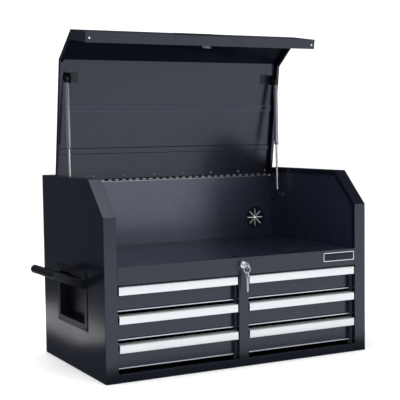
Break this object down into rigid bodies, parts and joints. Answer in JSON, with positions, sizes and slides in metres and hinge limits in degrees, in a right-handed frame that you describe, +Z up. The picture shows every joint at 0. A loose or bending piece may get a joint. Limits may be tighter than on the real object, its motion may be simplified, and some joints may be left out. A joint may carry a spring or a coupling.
{
  "type": "tool chest",
  "caption": "Steel top tool chest on a flat base: gas-strut hood lid over an open compartment, drawers with full-width pulls in columns, fold-out side handles and a key lock.",
  "frame": {"origin": "middle of the flat base, on the surface that the chest stands on", "axes": "+Z up, the drawers open towards -Y, +X to the right of someone facing the drawers"},
  "size_m": [1.1076, 0.5494, 1.0429],
  "materials": {
    "case_paint": "smooth satin to gloss powder coat, blue-black",
    "drawer_paint": "smooth satin to gloss powder coat, blue-black",
    "pull_aluminium": "clear satin anodised extrusion",
    "slide_zinc": "bright zinc plate",
    "hinge_steel": "plain rolled steel",
    "black_steel": "black powder coat",
    "strut_tube": "grey painted tube",
    "strut_rod": "polished plated rod",
    "rubber": "matt moulded rubber",
    "handle_grip": "black vinyl grip on black steel arms",
    "cup_plastic": "fine-textured black plastic",
    "chrome": "nickel and chrome plate"
  },
  "bodies": {
    "cabinet": {"left_side_panel": "case_paint", "right_side_panel": "case_paint", "left_side_liner": "case_paint", "right_side_liner": "case_paint", "back_panel": "case_paint", "base_pan": "case_paint", "deck_panel": "case_paint", "fascia_rail": "case_paint", "centre_partition": "case_paint", "left_outer_slide_rack": "slide_zinc", "left_inner_slide_rack": "slide_zinc", "right_inner_slide_rack": "slide_zinc", "right_outer_slide_rack": "slide_zinc", "cable_grommet": "rubber", "hinge_cabinet_leaf": "hinge_steel", "hinge_pin": "slide_zinc", "lock_cylinder": "chrome", "left_strut_ball_stud": "slide_zinc", "right_strut_ball_stud": "slide_zinc", "left_handle_recess": "black_steel", "right_handle_recess": "black_steel"},
    "lid": {"lid_shell": "case_paint", "lid_lift_cup": "cup_plastic", "lid_latch_hook": "slide_zinc", "hinge_lid_leaf": "hinge_steel", "left_strut_bracket": "black_steel", "right_strut_bracket": "black_steel"},
    "left_strut_cylinder": {"left_strut_cylinder": "strut_tube"},
    "left_strut_rod": {"left_strut_rod": "strut_rod"},
    "right_strut_cylinder": {"right_strut_cylinder": "strut_tube"},
    "right_strut_rod": {"right_strut_rod": "strut_rod"},
    "left_top_drawer": {"left_top_drawer_box": "drawer_paint", "left_top_drawer_pull": "pull_aluminium", "left_top_drawer_left_runner": "slide_zinc", "left_top_drawer_right_runner": "slide_zinc"},
    "left_middle_drawer": {"left_middle_drawer_box": "drawer_paint", "left_middle_drawer_pull": "pull_aluminium", "left_middle_drawer_left_runner": "slide_zinc", "left_middle_drawer_right_runner": "slide_zinc"},
    "left_bottom_drawer": {"left_bottom_drawer_box": "drawer_paint", "left_bottom_drawer_pull": "pull_aluminium", "left_bottom_drawer_left_runner": "slide_zinc", "left_bottom_drawer_right_runner": "slide_zinc"},
    "right_top_drawer": {"right_top_drawer_box": "drawer_paint", "right_top_drawer_pull": "pull_aluminium", "right_top_drawer_left_runner": "slide_zinc", "right_top_drawer_right_runner": "slide_zinc"},
    "right_middle_drawer": {"right_middle_drawer_box": "drawer_paint", "right_middle_drawer_pull": "pull_aluminium", "right_middle_drawer_left_runner": "slide_zinc", "right_middle_drawer_right_runner": "slide_zinc"},
    "right_bottom_drawer": {"right_bottom_drawer_box": "drawer_paint", "right_bottom_drawer_pull": "pull_aluminium", "right_bottom_drawer_left_runner": "slide_zinc", "right_bottom_drawer_right_runner": "slide_zinc"},
    "left_handle": {"left_handle_bail": "handle_grip"},
    "right_handle": {"right_handle_bail": "handle_grip"},
    "key": {"key_in_lock": "chrome"},
    "key_ring": {"key_ring": "chrome"},
    "spare_key": {"spare_key": "chrome"}
  },
  "joints": [
    {"name": "lid_hinge", "type": "hinge", "parent": "cabinet", "child": "lid", "pos_m": [0, 0.252, 0.56], "axis": [1, 0, 0], "range_deg": [0, 81.5], "stiffness_Nm_per_rad": 6, "springref_deg": -85.94},
    {"name": "left_strut_pivot", "type": "hinge", "parent": "lid", "child": "left_strut_cylinder", "pos_m": [-0.393, 0.17954, 0.89598], "axis": [1, 0, 0], "range_deg": [-5, 5]},
    {"name": "left_strut_slide", "type": "slide", "parent": "left_strut_cylinder", "child": "left_strut_rod", "axis": [0, 0.0211, 0.9998], "range_m": [0, 0.14]},
    {"name": "right_strut_pivot", "type": "hinge", "parent": "lid", "child": "right_strut_cylinder", "pos_m": [0.393, 0.17954, 0.89598], "axis": [1, 0, 0], "range_deg": [-5, 5]},
    {"name": "right_strut_slide", "type": "slide", "parent": "right_strut_cylinder", "child": "right_strut_rod", "axis": [0, 0.0211, 0.9998], "range_m": [0, 0.14]},
    {"name": "left_top_drawer_slide", "type": "slide", "parent": "cabinet", "child": "left_top_drawer", "axis": [0, -1, 0], "range_m": [0, 0.33]},
    {"name": "left_middle_drawer_slide", "type": "slide", "parent": "cabinet", "child": "left_middle_drawer", "axis": [0, -1, 0], "range_m": [0, 0.33]},
    {"name": "left_bottom_drawer_slide", "type": "slide", "parent": "cabinet", "child": "left_bottom_drawer", "axis": [0, -1, 0], "range_m": [0, 0.33]},
    {"name": "right_top_drawer_slide", "type": "slide", "parent": "cabinet", "child": "right_top_drawer", "axis": [0, -1, 0], "range_m": [0, 0.33]},
    {"name": "right_middle_drawer_slide", "type": "slide", "parent": "cabinet", "child": "right_middle_drawer", "axis": [0, -1, 0], "range_m": [0, 0.33]},
    {"name": "right_bottom_drawer_slide", "type": "slide", "parent": "cabinet", "child": "right_bottom_drawer", "axis": [0, -1, 0], "range_m": [0, 0.33]},
    {"name": "left_handle_pivot", "type": "hinge", "parent": "cabinet", "child": "left_handle", "pos_m": [-0.45, 0.003, 0.266], "axis": [0, -1, 0], "range_deg": [0, 110.5]},
    {"name": "right_handle_pivot", "type": "hinge", "parent": "cabinet", "child": "right_handle", "pos_m": [0.45, 0.003, 0.266], "axis": [0, 1, 0], "range_deg": [0, 110.5]},
    {"name": "key_turn", "type": "hinge", "parent": "cabinet", "child": "key", "pos_m": [0, -0.258, 0.313], "axis": [0, -1, 0], "range_deg": [0, 90]},
    {"name": "key_ring_swing", "type": "hinge", "parent": "key", "child": "key_ring", "pos_m": [0, -0.28, 0.313], "axis": [0, 1, 0], "range_deg": [-45, 45]},
    {"name": "spare_key_swing", "type": "hinge", "parent": "key_ring", "child": "spare_key", "pos_m": [0, -0.28, 0.2906], "axis": [1, 0, 0], "range_deg": [-60, 15]}
  ],
  "couplings": [
    {"joint": "left_strut_pivot", "follows": "lid_hinge", "ratio": -0.004345},
    {"joint": "left_strut_slide", "follows": "lid_hinge", "m_per_rad": 0.097351},
    {"joint": "right_strut_pivot", "follows": "lid_hinge", "ratio": -0.004345},
    {"joint": "right_strut_slide", "follows": "lid_hinge", "m_per_rad": 0.097351}
  ]
}
